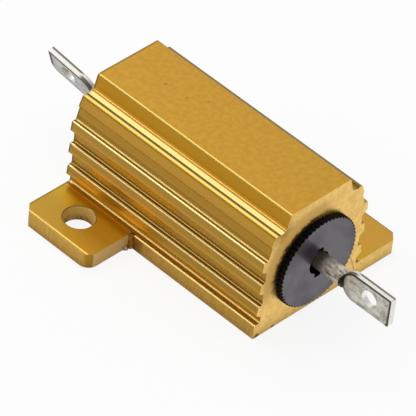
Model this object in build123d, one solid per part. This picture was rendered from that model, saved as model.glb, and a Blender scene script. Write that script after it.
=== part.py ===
from build123d import *
import os
from math import cos, radians, sin

# Aluminium housed resistor, 25 W size: a wirewound element potted inside a finned, anodised
# extrusion that is bolted flat to a heat sink by two lugs on opposite corners.
# All sizes are in millimetres.
# Frame: the origin is the centre of the housing's base face, X runs along the two terminals
# (right terminal towards +X), Y runs across the fins and Z points up, away from the heat sink.

# Housing, along and across
body_length = 27.5
base_width = 15.36
top_width = 8.5
bore_diameter = 9.4
bore_height = 6.6

# Housing, the three full fins of each side
fin_count = 3
fin_pitch = 2.93
lowest_fin_top = 4.25
fin_tip_width = 15.1
fin_top_width = 14.8
fin_root_width = 13.8
fin_face_height = 1.2
fin_undercut = 0.4
fin_lip_rise = 0.1
fin_tip_radius = 0.14
fin_root_radius = 0.2

# Housing, the short top fin, its ledge with a fine groove and a bead, and the raised flat top
shoulder_drop = 0.26
shoulder_face_height = 1.06
shoulder_face_lean = 0.46
shoulder_undercut = 0.3
shoulder_undercut_depth = 0.14
shoulder_radius = 0.13
bead_rise = 0.1
bead_outer_width = 0.41
bead_inner_width = 0.2
bead_radius = 0.05
groove_depth = 0.12
groove_wall_width = 0.07
ledge_width = 0.75
ledge_fall = 0.12
ledge_root_rise = 0.11
step_height = 1.92
step_foot_width = 9.5
step_cove_radius = 0.6
top_edge_radius = 0.2

# Housing, base flange and lugs
flange_thickness = 1.8
flange_edge_radius = 0.4
flange_cove_radius = 0.25
trimmed_edge_radius = 0.18
lug_reach = 5.92
lug_length = 9.8
lug_corner_cut = 1.05
lug_corner_radius = 1.25
lug_hole_diameter = 3.3
lug_hole_rim = 0.12
hole_size_match = 0.001
lug_hole_from_end = 4.75
lug_hole_from_side = 3.5
saw_nick_radius = 0.32

# Knurled end caps
cap_overhang = 0.66
cap_tooth_count = 60
cap_tooth_depth = 0.28
cap_flange_thickness = 0.85
cap_front_bevel = 0.1
cap_spigot_length = 2.0
cap_spigot_clearance = 0.02
cap_slot_side_clearance = 0.08
cap_slot_end_clearance = 0.18
cap_pin_clearance = 0.06

# Terminals: a round pin pressed flat into a blade with a wiring eye
pin_diameter = 1.9
blade_width = 3.44
blade_thickness = 0.7
blade_length = 6.52
blade_corner_radius = 0.16
eye_diameter = 2.0
eye_from_end = 2.8
right_stand_out = 10.85
left_stand_out = 10.45
left_bend_from_end = 3.15
left_bend_angle = 6.7
left_twist_angle = 22.0
left_corner_radius = 1.1

# Wirewound element
core_lift = 0.35
core_diameter = 5.0
ferrule_wall = 0.5
ferrule_length = 3.6
ferrule_end_gap = 1.03
ferrule_edge_cut = 0.25
element_clearance = 0.02
ribbon_width = 0.85
ribbon_thickness = 0.22
ribbon_pitch = 1.25

# Values that follow from the ones above
half_length = body_length / 2
lug_span = base_width + 2 * lug_reach
shoulder_height = lowest_fin_top + fin_count * fin_pitch - shoulder_drop
body_height = shoulder_height + step_height
cap_tip_diameter = bore_diameter + 2 * cap_overhang
element_height = bore_height + core_lift
filling_end = half_length - cap_spigot_length
ferrule_radius = core_diameter / 2 + element_clearance + ferrule_wall
ferrule_end = filling_end - ferrule_end_gap
ferrule_lip = ferrule_end - ferrule_length
core_length = 2 * (ferrule_end - ferrule_wall - element_clearance)


def fin_outline(fin_top):
    """One full fin seen from its lower root to its upper root, with the corner radii."""
    face_foot = fin_top - fin_face_height
    return [
        ((fin_root_width / 2, face_foot - fin_undercut), fin_root_radius),
        ((fin_tip_width / 2, face_foot), fin_tip_radius),
        ((fin_top_width / 2, fin_top), fin_tip_radius),
        ((fin_root_width / 2, fin_top - fin_lip_rise), fin_root_radius),
    ]


def half_section(width, edge_radius):
    """Corners of the section from the base centre round one side to the top centre."""
    corners = [
        ((0, 0), 0),
        ((width / 2, 0), 0),
        ((width / 2, flange_thickness), edge_radius),
        ((fin_root_width / 2, flange_thickness), flange_cove_radius),
    ]
    for number in range(fin_count):
        corners += fin_outline(lowest_fin_top + number * fin_pitch)
    ledge_height = shoulder_height + ledge_root_rise - ledge_fall
    ledge_end = step_foot_width / 2 + ledge_width
    groove = ledge_end + groove_wall_width
    bead_top = groove + bead_inner_width
    shoulder = bead_top + bead_outer_width
    shoulder_foot = shoulder + shoulder_face_lean
    face_foot = shoulder_height - shoulder_face_height
    corners += [
        ((shoulder_foot - shoulder_undercut_depth, face_foot - shoulder_undercut), shoulder_radius),
        ((shoulder_foot, face_foot), shoulder_radius),
        ((shoulder, shoulder_height), shoulder_radius),
        ((bead_top, shoulder_height + bead_rise), bead_radius),
        ((groove, ledge_height - groove_depth), bead_radius),
        ((ledge_end, ledge_height), bead_radius),
        ((step_foot_width / 2, shoulder_height + ledge_root_rise), step_cove_radius),
        ((top_width / 2, body_height), top_edge_radius),
        ((0, body_height), 0),
    ]
    return corners


def finned_bar(width, edge_radius):
    """Solid bar with the fins on both sides and a base flange of the given width."""
    corners = half_section(width, edge_radius)
    points = [point for point, radius in corners]
    radii = [radius for point, radius in corners[1:-1]]
    with BuildPart() as bar:
        with BuildSketch(Plane.YZ):
            with BuildLine():
                FilletPolyline(*points, radius=radii)
                Line(points[-1], points[0])
            make_face()
            mirror(about=Plane.YZ)
        extrude(amount=half_length, both=True)
    return bar.part


def lug_outline():
    """Plan of one lug: the corner at the body's end is cut off, the inner one is rounded."""
    inner_side = half_length - lug_length
    outer_side = lug_span / 2
    with BuildSketch() as plan:
        with BuildLine():
            FilletPolyline(
                (half_length, 0),
                (half_length, outer_side - lug_corner_cut),
                (half_length - lug_corner_cut, outer_side),
                (inner_side, outer_side),
                (inner_side, 0),
                radius=[0, 0, lug_corner_radius],
            )
            Line((inner_side, 0), (half_length, 0))
        make_face()
    return plan.sketch


def upper_hole_rims(solid):
    """The edges of the two mounting holes in the lugs' upper faces."""
    rims = solid.edges().filter_by(GeomType.CIRCLE).filter_by(
        lambda edge: abs(edge.radius - lug_hole_diameter / 2) < hole_size_match
    )
    return rims.filter_by(lambda edge: edge.center().Z > flange_thickness / 2)


def housing():
    """The extrusion with its flanges sawn away between the lugs, then bored and drilled."""
    lug_plans = lug_outline() + Rot(0, 0, 180) * lug_outline()
    lugs = finned_bar(lug_span, flange_edge_radius) & extrude(lug_plans, amount=body_height)
    body = finned_bar(base_width, trimmed_edge_radius) + lugs
    body -= Pos(0, 0, bore_height) * Rot(0, 90, 0) * Cylinder(bore_diameter / 2, 2 * body_length)
    hole = Cylinder(lug_hole_diameter / 2, 2 * flange_thickness)
    nick = Cylinder(saw_nick_radius, 2 * flange_thickness)
    hole_x = half_length - lug_hole_from_end
    hole_y = lug_span / 2 - lug_hole_from_side
    nick_x = half_length - lug_length - saw_nick_radius / 2
    for side in (1, -1):
        body -= Pos(side * hole_x, side * hole_y, flange_thickness / 2) * hole
        body -= Pos(side * nick_x, side * base_width / 2, flange_thickness / 2) * nick
    return chamfer(upper_hole_rims(body), lug_hole_rim)


def knurled_face():
    """Flat disc with a straight-knurled rim: pointed teeth all the way round."""
    points = []
    for number in range(2 * cap_tooth_count):
        reach = cap_tip_diameter / 2 - (number % 2) * cap_tooth_depth
        angle = radians(number * 180 / cap_tooth_count)
        points.append((reach * sin(angle), reach * cos(angle)))
    with BuildSketch() as face:
        with BuildLine():
            Polyline(*points, close=True)
        make_face()
    return face.sketch


def end_cap():
    """Knurled cap for the right end: rim outside, spigot in the bore, keyhole for the blade."""
    seat = Plane.YZ.offset(half_length) * Pos(0, bore_height)
    rim = extrude(seat * knurled_face(), amount=cap_flange_thickness)
    rim = rim & knurl_bevel(seat)
    spigot = extrude(seat * Circle(bore_diameter / 2 - cap_spigot_clearance), amount=-cap_spigot_length)
    slot_width = blade_thickness + 2 * cap_slot_side_clearance
    slot_length = blade_width + 2 * cap_slot_end_clearance
    pin_hole_radius = pin_diameter / 2 + core_lift + cap_pin_clearance
    keyhole = Rectangle(slot_width, slot_length) + Circle(pin_hole_radius)
    passage = extrude(seat * keyhole, amount=cap_spigot_length + cap_flange_thickness, both=True)
    return rim + spigot - passage


def knurl_bevel(seat):
    """Plain disc over the rim whose outer edge is bevelled, to take the points off the teeth."""
    disc = extrude(seat * Circle(cap_tip_diameter / 2), amount=cap_flange_thickness)
    return chamfer(disc.edges().filter_by(GeomType.CIRCLE).sort_by(Axis.X)[-1], cap_front_bevel)


def blade_outline(lower_corner_radius):
    """Side view of the pressed blade, from its rounded root at x = 0 to its squared end."""
    half_width = blade_width / 2
    with BuildSketch() as side:
        with BuildLine():
            FilletPolyline(
                (half_width, -half_width),
                (blade_length, -half_width),
                (blade_length, half_width),
                (half_width, half_width),
                radius=[lower_corner_radius, blade_corner_radius],
            )
            ThreePointArc((half_width, half_width), (0, 0), (half_width, -half_width))
        make_face()
    return Plane.XZ * side.sketch


def pressed_blade(pin_length, lower_corner_radius):
    """Round pin along X from the origin, its end pressed into a flat blade with an eye."""
    pin = along_x(Cylinder(pin_diameter / 2, pin_length + blade_width / 2), 0)
    outline = Pos(pin_length, 0, 0) * blade_outline(lower_corner_radius)
    stroke = extrude(outline, amount=pin_diameter, both=True)
    blade = extrude(outline, amount=blade_thickness / 2, both=True)
    eye = Rot(90, 0, 0) * Cylinder(eye_diameter / 2, pin_diameter)
    return pin - stroke + blade - Pos(pin_length + blade_length - eye_from_end, 0, 0) * eye


def along_x(upright, start):
    """Lay a solid that is centred on Z along X, with its lower end at start."""
    return Pos(start, 0, 0) * Rot(0, 90, 0) * Pos(0, 0, upright.bounding_box().size.Z / 2) * upright


def right_terminal():
    """Straight terminal of the right end, from the ferrule's end face to its squared tip."""
    pin_length = half_length + right_stand_out - blade_length - ferrule_end
    return Pos(ferrule_end, 0, element_height) * pressed_blade(pin_length, blade_corner_radius)


def left_terminal():
    """Terminal of the left end, bent up a little and twisted, as handling has left it."""
    bend_at = half_length + left_bend_from_end
    straight_length = bend_at - ferrule_end
    bent_reach = left_stand_out - left_bend_from_end
    bent_length = bent_reach / cos(radians(left_bend_angle)) - blade_length
    straight = along_x(Cylinder(pin_diameter / 2, straight_length), ferrule_end)
    knee = Pos(bend_at, 0, 0) * Sphere(pin_diameter / 2)
    bent = Rot(left_twist_angle, 0, 0) * pressed_blade(bent_length, left_corner_radius)
    bent = Pos(bend_at, 0, 0) * Rot(0, -left_bend_angle, 0) * bent
    return mirror(Pos(0, 0, element_height) * (straight + knee + bent), about=Plane.YZ)


def ceramic_core():
    """Ceramic rod that carries the winding."""
    return Pos(0, 0, element_height) * along_x(Cylinder(core_diameter / 2, core_length), -core_length / 2)


def ferrule():
    """Metal cup pressed over the right end of the core; the pin is welded to its floor."""
    outside = along_x(Cylinder(ferrule_radius, ferrule_length), ferrule_lip)
    outside = chamfer(outside.edges().sort_by(Axis.X)[-1], ferrule_edge_cut)
    inside = along_x(
        Cylinder(ferrule_radius - ferrule_wall, ferrule_length - ferrule_wall), ferrule_lip
    )
    return Pos(0, 0, element_height) * (outside - inside)


def resistance_winding():
    """Flat resistance wire wound in one layer on the core, between the two ferrules' lips."""
    helix_radius = (core_diameter + ribbon_thickness) / 2 + element_clearance
    wound_length = 2 * ferrule_lip - ribbon_width - 2 * element_clearance
    turns = int(wound_length / ribbon_pitch)
    path = Helix(ribbon_pitch, turns * ribbon_pitch, helix_radius)
    across = Plane(origin=path @ 0, x_dir=(1, 0, 0), z_dir=path % 0)
    ribbon = sweep(across * Rectangle(ribbon_thickness, ribbon_width), path=path, is_frenet=True)
    return Pos(-turns * ribbon_pitch / 2, 0, element_height) * Rot(0, 90, 0) * ribbon


def potting():
    """Filling moulded between the element and the bore, up to the caps' spigots."""
    gap = element_clearance
    length = 2 * (filling_end - gap)
    plug = along_x(Cylinder(bore_diameter / 2 - gap, length), -length / 2)
    wound = along_x(Cylinder(core_diameter / 2 + ribbon_thickness + 2 * gap, 2 * ferrule_lip), -ferrule_lip)
    pins = along_x(Cylinder(pin_diameter / 2 + gap, body_length), -half_length)
    cup = along_x(Cylinder(ferrule_radius + gap, ferrule_length + 2 * gap), ferrule_lip - gap)
    element = wound + pins + cup + mirror(cup, about=Plane.YZ)
    return Pos(0, 0, bore_height) * (plug - Pos(0, 0, core_lift) * element)


def build_parts():
    """Every separate piece, by the name of its node."""
    cap = end_cap()
    cup = ferrule()
    return {
        "housing": housing(),
        "right_end_cap": cap,
        "left_end_cap": cap.mirror(Plane.YZ),
        "right_terminal": right_terminal(),
        "left_terminal": left_terminal(),
        "ceramic_core": ceramic_core(),
        "right_core_ferrule": cup,
        "left_core_ferrule": cup.mirror(Plane.YZ),
        "resistance_winding": resistance_winding(),
        "potting_fill": potting(),
    }


os.makedirs("parts", exist_ok=True)
for name, solid in build_parts().items():
    export_step(solid, f"parts/{name}.step")
    print(name, round(solid.volume, 2))
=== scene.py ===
# %% [markdown]
# # An aluminium housed resistor, dressed and lit
# The resistor is a gold-anodised bar with fins. A black knurled cap closes each end, and a
# flattened terminal stands out of each cap. The solids come ready made from CAD. This lesson
# gives them their finishes, adds the torn metal that a saw left, and lights them like a
# catalogue picture.

# %% Load the solid model
from math import cos, radians, sin
import bpy
from mathutils import Matrix, Vector


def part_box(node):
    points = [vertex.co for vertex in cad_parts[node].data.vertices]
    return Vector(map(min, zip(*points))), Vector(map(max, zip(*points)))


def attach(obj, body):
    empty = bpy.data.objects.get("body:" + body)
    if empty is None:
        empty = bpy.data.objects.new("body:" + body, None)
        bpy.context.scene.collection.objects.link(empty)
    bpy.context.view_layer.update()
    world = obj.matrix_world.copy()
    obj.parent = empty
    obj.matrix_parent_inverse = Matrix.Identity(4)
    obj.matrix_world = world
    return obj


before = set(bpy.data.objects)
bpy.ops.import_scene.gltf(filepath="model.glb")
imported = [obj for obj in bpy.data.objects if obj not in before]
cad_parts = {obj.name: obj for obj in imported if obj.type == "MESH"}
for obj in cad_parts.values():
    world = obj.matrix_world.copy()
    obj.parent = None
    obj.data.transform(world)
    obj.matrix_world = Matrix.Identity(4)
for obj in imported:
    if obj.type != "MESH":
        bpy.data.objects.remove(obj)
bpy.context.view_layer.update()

MM = 0.001
print("solids:", sorted(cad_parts))

# %% [markdown]
# ## The camera
# The picture was taken from far off with a long lens, so the bar's long edges stay nearly
# parallel. A camera can be aimed by eye. Here its place, direction and roll were worked out from
# the corners of the housing, which brings nearly every edge to where the photograph has it.

# %% Camera
VIEW_AZIMUTH = radians(40.407)
VIEW_ELEVATION = radians(41.528)
VIEW_ROLL = radians(7.122)
CAMERA_PLACE = Vector((231.285, -272.522, 320.109)) * MM
LENS = 406.79
SENSOR_WIDTH = 36
NEAREST_SEEN = 10 * MM

level_right = Vector((cos(VIEW_AZIMUTH), sin(VIEW_AZIMUTH), 0))
flat_ahead = Vector((-sin(VIEW_AZIMUTH), cos(VIEW_AZIMUTH), 0))
ahead = cos(VIEW_ELEVATION) * flat_ahead - sin(VIEW_ELEVATION) * Vector((0, 0, 1))
level_up = level_right.cross(ahead)
picture_right = cos(VIEW_ROLL) * level_right + sin(VIEW_ROLL) * level_up
picture_up = cos(VIEW_ROLL) * level_up - sin(VIEW_ROLL) * level_right

camera_data = bpy.data.cameras.new("catalogue_camera")
camera_data.lens = LENS
camera_data.sensor_width = SENSOR_WIDTH
camera_data.clip_start = NEAREST_SEEN
camera = bpy.data.objects.new("catalogue_camera", camera_data)
bpy.context.scene.collection.objects.link(camera)
camera_turn = Matrix((picture_right, picture_up, -ahead)).transposed().to_4x4()
camera.matrix_world = Matrix.Translation(CAMERA_PLACE) @ camera_turn
bpy.context.scene.camera = camera
print("camera stands", round(CAMERA_PLACE.length / MM), "mm from the housing's base")

# %% [markdown]
# ## Helpers for node trees
# A material is a small network of nodes. These helpers keep the later cells readable: one adds a
# node, one does arithmetic, others turn a value into a soft mask, and the last ones mix two
# colours by a mask or lay several colours over each other.

# %% Node helpers
def add_node(tree, kind, inputs=None, **settings):
    """Add a node, set its properties, and set the inputs named or numbered in 'inputs'."""
    node = tree.nodes.new(kind)
    for name, value in settings.items():
        setattr(node, name, value)
    for name, value in (inputs or {}).items():
        node.inputs[name].default_value = value
    return node


def feed(tree, value, socket):
    """Give an input socket a number, or the output of another node."""
    if isinstance(value, (int, float)):
        socket.default_value = value
    else:
        tree.links.new(value, socket)


def calculate(tree, operation, first, second=0.0):
    """Add a Math node; each operand is a number or an output socket."""
    node = add_node(tree, "ShaderNodeMath", operation=operation)
    feed(tree, first, node.inputs[0])
    feed(tree, second, node.inputs[1])
    return node.outputs[0]


def product(tree, *factors):
    """Multiply any count of numbers or sockets, which joins masks with 'and'."""
    total = factors[0]
    for factor in factors[1:]:
        total = calculate(tree, "MULTIPLY", total, factor)
    return total


print("node helpers ready")

# %% Masks and mixes
def ramp(tree, value, low, high):
    """Turn a value into 0 at low and 1 at high, with a soft step between them."""
    node = add_node(tree, "ShaderNodeMapRange", {"From Min": low, "From Max": high})
    node.interpolation_type = "SMOOTHSTEP"
    tree.links.new(value, node.inputs["Value"])
    return node.outputs["Result"]


def band(tree, value, low, high, soft):
    """Turn a value into 1 between low and high, and 0 beyond a soft border outside them."""
    rising = ramp(tree, value, low - soft, low)
    falling = ramp(tree, value, high + soft, high)
    return product(tree, rising, falling)


def either(tree, *masks):
    """Take the largest of any count of masks, which joins them with 'or'."""
    largest = masks[0]
    for mask in masks[1:]:
        largest = calculate(tree, "MAXIMUM", largest, mask)
    return largest


def opposite(tree, mask):
    """Swap a mask's 0 and 1."""
    return calculate(tree, "SUBTRACT", 1, mask)


def blend_colours(tree, share, first, second):
    """Mix two colours; each is a colour tuple or an output socket."""
    node = add_node(tree, "ShaderNodeMix", data_type="RGBA")
    feed(tree, share, node.inputs["Factor"])
    colour_inputs = [socket for socket in node.inputs if socket.type == "RGBA"]
    for colour, socket in zip((first, second), colour_inputs):
        if isinstance(colour, tuple):
            socket.default_value = (*colour, 1)
        else:
            tree.links.new(colour, socket)
    return node.outputs[2]


def paint(tree, colour, *layers):
    """Lay colours over a colour; a layer is its mask, its share from 0 to 1, and its colour."""
    for mask, share, layer_colour in layers:
        colour = blend_colours(tree, product(tree, mask, share), colour, layer_colour)
    return colour


def blend_values(tree, share, first, second):
    """Mix two numbers or value sockets."""
    change = calculate(tree, "SUBTRACT", second, first)
    return calculate(tree, "ADD", first, product(tree, change, share))


def split(tree, vector):
    """Return the X, Y and Z of a vector socket."""
    node = add_node(tree, "ShaderNodeSeparateXYZ")
    tree.links.new(vector, node.inputs[0])
    return node.outputs


print("masks and mixes ready")

# %% [markdown]
# ## Materials and effects that they share
# Drawn metal has fine lines along its length, a handled part has specks, and nearly every surface
# has soft patches. Each effect is made once as a node group and placed in the materials with its
# own values, so all the finishes belong together and can be tuned in one place.

# %% Material and group makers
def new_material(name):
    """Return a material, its tree, its Principled shader and its coordinates."""
    material = bpy.data.materials.new(name)
    material.use_nodes = True
    tree = material.node_tree
    coordinates = add_node(tree, "ShaderNodeTexCoord").outputs
    return material, tree, tree.nodes["Principled BSDF"], coordinates


def dress(node_name, material):
    """Give a CAD node one material."""
    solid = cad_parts[node_name]
    solid.data.materials.clear()
    solid.data.materials.append(material)
    print(node_name, "wears", material.name)


def new_group(name, inputs, outputs):
    """Open a shader node group; inputs maps a name to (socket type, default)."""
    group = bpy.data.node_groups.new(name, "ShaderNodeTree")
    for label, (kind, default) in inputs.items():
        socket = group.interface.new_socket(label, in_out="INPUT", socket_type=kind)
        if default is not None:
            socket.default_value = default
    for label in outputs:
        group.interface.new_socket(label, in_out="OUTPUT", socket_type="NodeSocketFloat")
    start = group.nodes.new("NodeGroupInput")
    end = group.nodes.new("NodeGroupOutput")
    return group, start.outputs, end.inputs


def use_group(tree, group, coordinates, **values):
    """Place a group, fed with object coordinates; in a value's name, _ stands for a space."""
    node = add_node(tree, "ShaderNodeGroup", node_tree=group)
    tree.links.new(coordinates["Object"], node.inputs["Coordinates"])
    for name, value in values.items():
        node.inputs[name.replace("_", " ")].default_value = value
    return node.outputs


def add_relief(tree, shader, height, strength, depth):
    """Bump a shader's surface by a height mask, down to a depth in millimetres."""
    bump = add_node(tree, "ShaderNodeBump", {"Strength": strength, "Distance": depth * MM})
    tree.links.new(height, bump.inputs["Height"])
    tree.links.new(bump.outputs["Normal"], shader.inputs["Normal"])


print("makers ready")

# %% Stretched lines
VECTOR = "NodeSocketVector"
NUMBER = "NodeSocketFloat"

stretched_lines, given, result = new_group(
    "stretched_lines",
    {"Coordinates": (VECTOR, None), "Stretch": (VECTOR, (25, 3200, 3200)), "Detail": (NUMBER, 3)},
    ["Lines"],
)
stretched = add_node(stretched_lines, "ShaderNodeVectorMath", operation="MULTIPLY")
stretched_lines.links.new(given["Coordinates"], stretched.inputs[0])
stretched_lines.links.new(given["Stretch"], stretched.inputs[1])
line_noise = add_node(stretched_lines, "ShaderNodeTexNoise", {"Scale": 1, "Roughness": 0.6})
stretched_lines.links.new(stretched.outputs[0], line_noise.inputs["Vector"])
stretched_lines.links.new(given["Detail"], line_noise.inputs["Detail"])
stretched_lines.links.new(line_noise.outputs["Fac"], result["Lines"])
print(stretched_lines.name, "has", len(stretched_lines.nodes), "nodes")

# %% Soft patches
soft_patches, given, result = new_group(
    "soft_patches",
    {"Coordinates": (VECTOR, None), "Size": (NUMBER, 400), "Detail": (NUMBER, 3)},
    ["Patches"],
)
patch_noise = add_node(soft_patches, "ShaderNodeTexNoise", {"Roughness": 0.55})
soft_patches.links.new(given["Coordinates"], patch_noise.inputs["Vector"])
soft_patches.links.new(given["Size"], patch_noise.inputs["Scale"])
soft_patches.links.new(given["Detail"], patch_noise.inputs["Detail"])
soft_patches.links.new(patch_noise.outputs["Fac"], result["Patches"])
print(soft_patches.name, "has", len(soft_patches.nodes), "nodes")

# %% Fine specks
SPECK_BORDER = 0.04
BARE_CELLS = 0.55

fine_specks, given, result = new_group(
    "fine_specks",
    {"Coordinates": (VECTOR, None), "Size": (NUMBER, 600), "Radius": (NUMBER, 0.1)},
    ["Specks"],
)
cells = add_node(fine_specks, "ShaderNodeTexVoronoi")
fine_specks.links.new(given["Coordinates"], cells.inputs["Vector"])
fine_specks.links.new(given["Size"], cells.inputs["Scale"])
cell_colour = add_node(fine_specks, "ShaderNodeSeparateColor")
fine_specks.links.new(cells.outputs["Color"], cell_colour.inputs[0])
speck_radius = product(fine_specks, given["Radius"], cell_colour.outputs["Red"])
depth_inside = calculate(fine_specks, "SUBTRACT", speck_radius, cells.outputs["Distance"])
has_speck = calculate(fine_specks, "GREATER_THAN", cell_colour.outputs["Green"], BARE_CELLS)
speck = product(fine_specks, ramp(fine_specks, depth_inside, 0, SPECK_BORDER), has_speck)
fine_specks.links.new(speck, result["Specks"])
print(fine_specks.name, "has", len(fine_specks.nodes), "nodes")

# %% Spots at chosen places
SPOT_CORE = 0.4

spot_at, given, result = new_group(
    "spot_at",
    {"Coordinates": (VECTOR, None), "Centre": (VECTOR, (0, 0, 0)), "Radius": (NUMBER, 0.0002)},
    ["Spot"],
)
spot_distance = add_node(spot_at, "ShaderNodeVectorMath", operation="DISTANCE")
spot_at.links.new(given["Coordinates"], spot_distance.inputs[0])
spot_at.links.new(given["Centre"], spot_distance.inputs[1])
spot_share = calculate(spot_at, "DIVIDE", spot_distance.outputs["Value"], given["Radius"])
spot_at.links.new(ramp(spot_at, spot_share, 1, SPOT_CORE), result["Spot"])
print("effects:", [group.name for group in bpy.data.node_groups])

# %% [markdown]
# ## Gold anodising: which face is this
# The housing is an extrusion. Its long faces are drawn, its flat top is satin, and its two ends
# and the sides of its flange are cut, which leaves them paler and grainy. Along the fins each fin
# carries a dark line, a painted shade in its hollows, and a pale line, a painted highlight on its
# edges and coves. Separate objects could carry these finishes, but the real bar is one piece.
# One material does it all by reading each point's place and the way its face looks.

# %% Gold: directions and places
gold, tree, shader, coordinates = new_material("gold_anodising")
facing = split(tree, coordinates["Normal"])
point = split(tree, coordinates["Object"])
facing_along = calculate(tree, "ABSOLUTE", facing["X"])
facing_across = calculate(tree, "ABSOLUTE", facing["Y"])
facing_up = facing["Z"]
along = calculate(tree, "ABSOLUTE", point["X"])
across = calculate(tree, "ABSOLUTE", point["Y"])
height = point["Z"]
along_flange = product(tree, point["X"], calculate(tree, "SIGN", point["Y"]), -1)
HOUSING_LOW, HOUSING_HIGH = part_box("housing")
TOP = HOUSING_HIGH.z
print("housing from", tuple(HOUSING_LOW), "to", tuple(HOUSING_HIGH))

# %% Gold: top, ends and lugs
SQUARE_ON = (0.9, 0.97)
LEVEL = (0.97, 0.995)
ROUNDED = (0.3, 0.94)
FLANGE_TOP = 1.8 * MM
TRIMMED_SIDE = 7.68 * MM
LUG_SIDE = HOUSING_HIGH.y

end_cut = ramp(tree, facing_along, *SQUARE_ON)
level = ramp(tree, facing_up, *LEVEL)
rounded = band(tree, facing_up, *ROUNDED, 0.06)
low_down = ramp(tree, height, FLANGE_TOP + 0.1 * MM, FLANGE_TOP)
at_top = ramp(tree, height, TOP - 0.3 * MM, TOP - 0.1 * MM)
flat_top = product(tree, level, at_top)
past_trimmed_side = ramp(tree, across, TRIMMED_SIDE - 0.1 * MM, TRIMMED_SIDE + 0.3 * MM)
lug_top = product(tree, level, low_down, past_trimmed_side)
at_lug_side = ramp(tree, across, LUG_SIDE - 0.5 * MM, LUG_SIDE - 0.4 * MM)
lug_edge = product(tree, rounded, low_down, at_lug_side)
print("lugs reach", LUG_SIDE / MM, "mm from the middle")

# %% Gold: lug holes and the flange's side
HOLE_ALONG = 9 * MM
HOLE_ACROSS = 10.1 * MM
HOLE_RADIUS = 1.65 * MM
HOLE_RIM = HOLE_RADIUS + 0.09 * MM
RING = (HOLE_RADIUS + 0.05 * MM, HOLE_RADIUS + 0.16 * MM)

along_hole = calculate(tree, "SUBTRACT", along, HOLE_ALONG)
across_hole = calculate(tree, "SUBTRACT", across, HOLE_ACROSS)
squares = [calculate(tree, "MULTIPLY", side, side) for side in (along_hole, across_hole)]
hole_distance = calculate(tree, "SQRT", calculate(tree, "ADD", *squares))
hole_wall = product(tree, low_down, ramp(tree, hole_distance, HOLE_RIM, HOLE_RIM - 0.06 * MM))
# A ring round each lug hole's rim is painted dark, a painted shade.
hole_shade_ring = product(tree, low_down, band(tree, hole_distance, *RING, 0.07 * MM))
sideways = ramp(tree, facing_across, 0.8, 0.95)
at_flange_side = ramp(tree, across, TRIMMED_SIDE - 0.2 * MM, TRIMMED_SIDE)
flange_side = product(tree, sideways, low_down, at_flange_side, opposite(tree, hole_wall))
print("lug holes at", HOLE_ALONG / MM, "by", HOLE_ACROSS / MM, "mm")

# %% Gold: painted highlights on edges and coves
FIN_ROOT = 6.9 * MM
FIN_EDGE = 7.22 * MM
FIN_TIP = 7.48 * MM
SHOULDER_FOOT = 11.4 * MM
NICK_END = -3.5 * MM
LINE_SOFTNESS = 0.04 * MM

upwards = ramp(tree, facing_up, 0.1, 0.3)
by_fins = band(tree, height, FLANGE_TOP + 1 * MM, SHOULDER_FOOT, 0.1 * MM)
at_fin_edge = band(tree, across, FIN_EDGE, FIN_TIP, LINE_SOFTNESS)
fin_edge = product(tree, upwards, by_fins, at_fin_edge)

below_shoulder = ramp(tree, height, SHOULDER_FOOT, SHOULDER_FOOT - 0.5 * MM)
at_fin_root = band(tree, across, FIN_ROOT - 0.1 * MM, FIN_ROOT + 0.02 * MM, LINE_SOFTNESS)
tilted_up = ramp(tree, facing_up, 0.28, 0.42)
fin_cove = product(tree, tilted_up, below_shoulder, at_fin_root, 0.7)

on_flange = band(tree, height, FLANGE_TOP + 0.02 * MM, FLANGE_TOP + 0.22 * MM, LINE_SOFTNESS)
inside_fin_edge = ramp(tree, across, FIN_EDGE - 0.02 * MM, FIN_EDGE - 0.12 * MM)
flange_cove = product(tree, rounded, on_flange, inside_fin_edge, 0.45)
past_nick = ramp(tree, along_flange, NICK_END, NICK_END + 0.5 * MM)
at_flange_edge = band(tree, across, TRIMMED_SIDE - 0.18 * MM, TRIMMED_SIDE, LINE_SOFTNESS)
flange_edge = product(tree, rounded, low_down, past_nick, at_flange_edge)
# The fin edges, fin coves, flange edge and flange cove are painted pale, a painted highlight.
painted_highlight_line = either(tree, fin_edge, fin_cove, flange_edge, flange_cove)
print("pale lines: fin edges, coves and the flange's edge")

# %% Gold: painted shade in hollows
GROOVE = (5.48 * MM, 5.86 * MM)
FIN_LIP = (FIN_ROOT + 0.07 * MM, FIN_EDGE - 0.05 * MM)
FLANGE_LIP = (FIN_ROOT + 0.2 * MM, FIN_TIP - 0.03 * MM)

high_up = ramp(tree, height, SHOULDER_FOOT + 1 * MM, SHOULDER_FOOT + 1.1 * MM)
groove = product(tree, high_up, band(tree, across, *GROOVE, LINE_SOFTNESS))
fin_lip = product(tree, upwards, by_fins, band(tree, across, *FIN_LIP, LINE_SOFTNESS))
at_flange_lip = band(tree, across, *FLANGE_LIP, LINE_SOFTNESS)
flange_lip = product(tree, level, low_down, at_flange_lip, 0.72)
far_side = product(tree, ramp(tree, point["Y"], 5 * MM, 6 * MM), upwards, by_fins)
# The fin lips, the flange's lip, the groove and the fins' far side are painted dark, a painted
# shade.
painted_shade_line = either(tree, fin_lip, flange_lip, groove, far_side)

# The drawn faces by the far left end are painted darker, a painted shade.
off_left_end = ramp(tree, point["X"], HOUSING_LOW.x + 0.28 * MM, HOUSING_LOW.x + 0.1 * MM)
far_end_shade = product(tree, opposite(tree, end_cut), off_left_end)
print("dark lines: lips, groove, far side and far end")

# %% Gold: the shoulder's step, ledge and bead
STEP_FOOT = 4.75 * MM
LEDGE_END = 5.5 * MM
BEAD = (5.87 * MM, 5.97 * MM)
BEAD_SLOPE = (6.04 * MM, 6.22 * MM)

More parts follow.
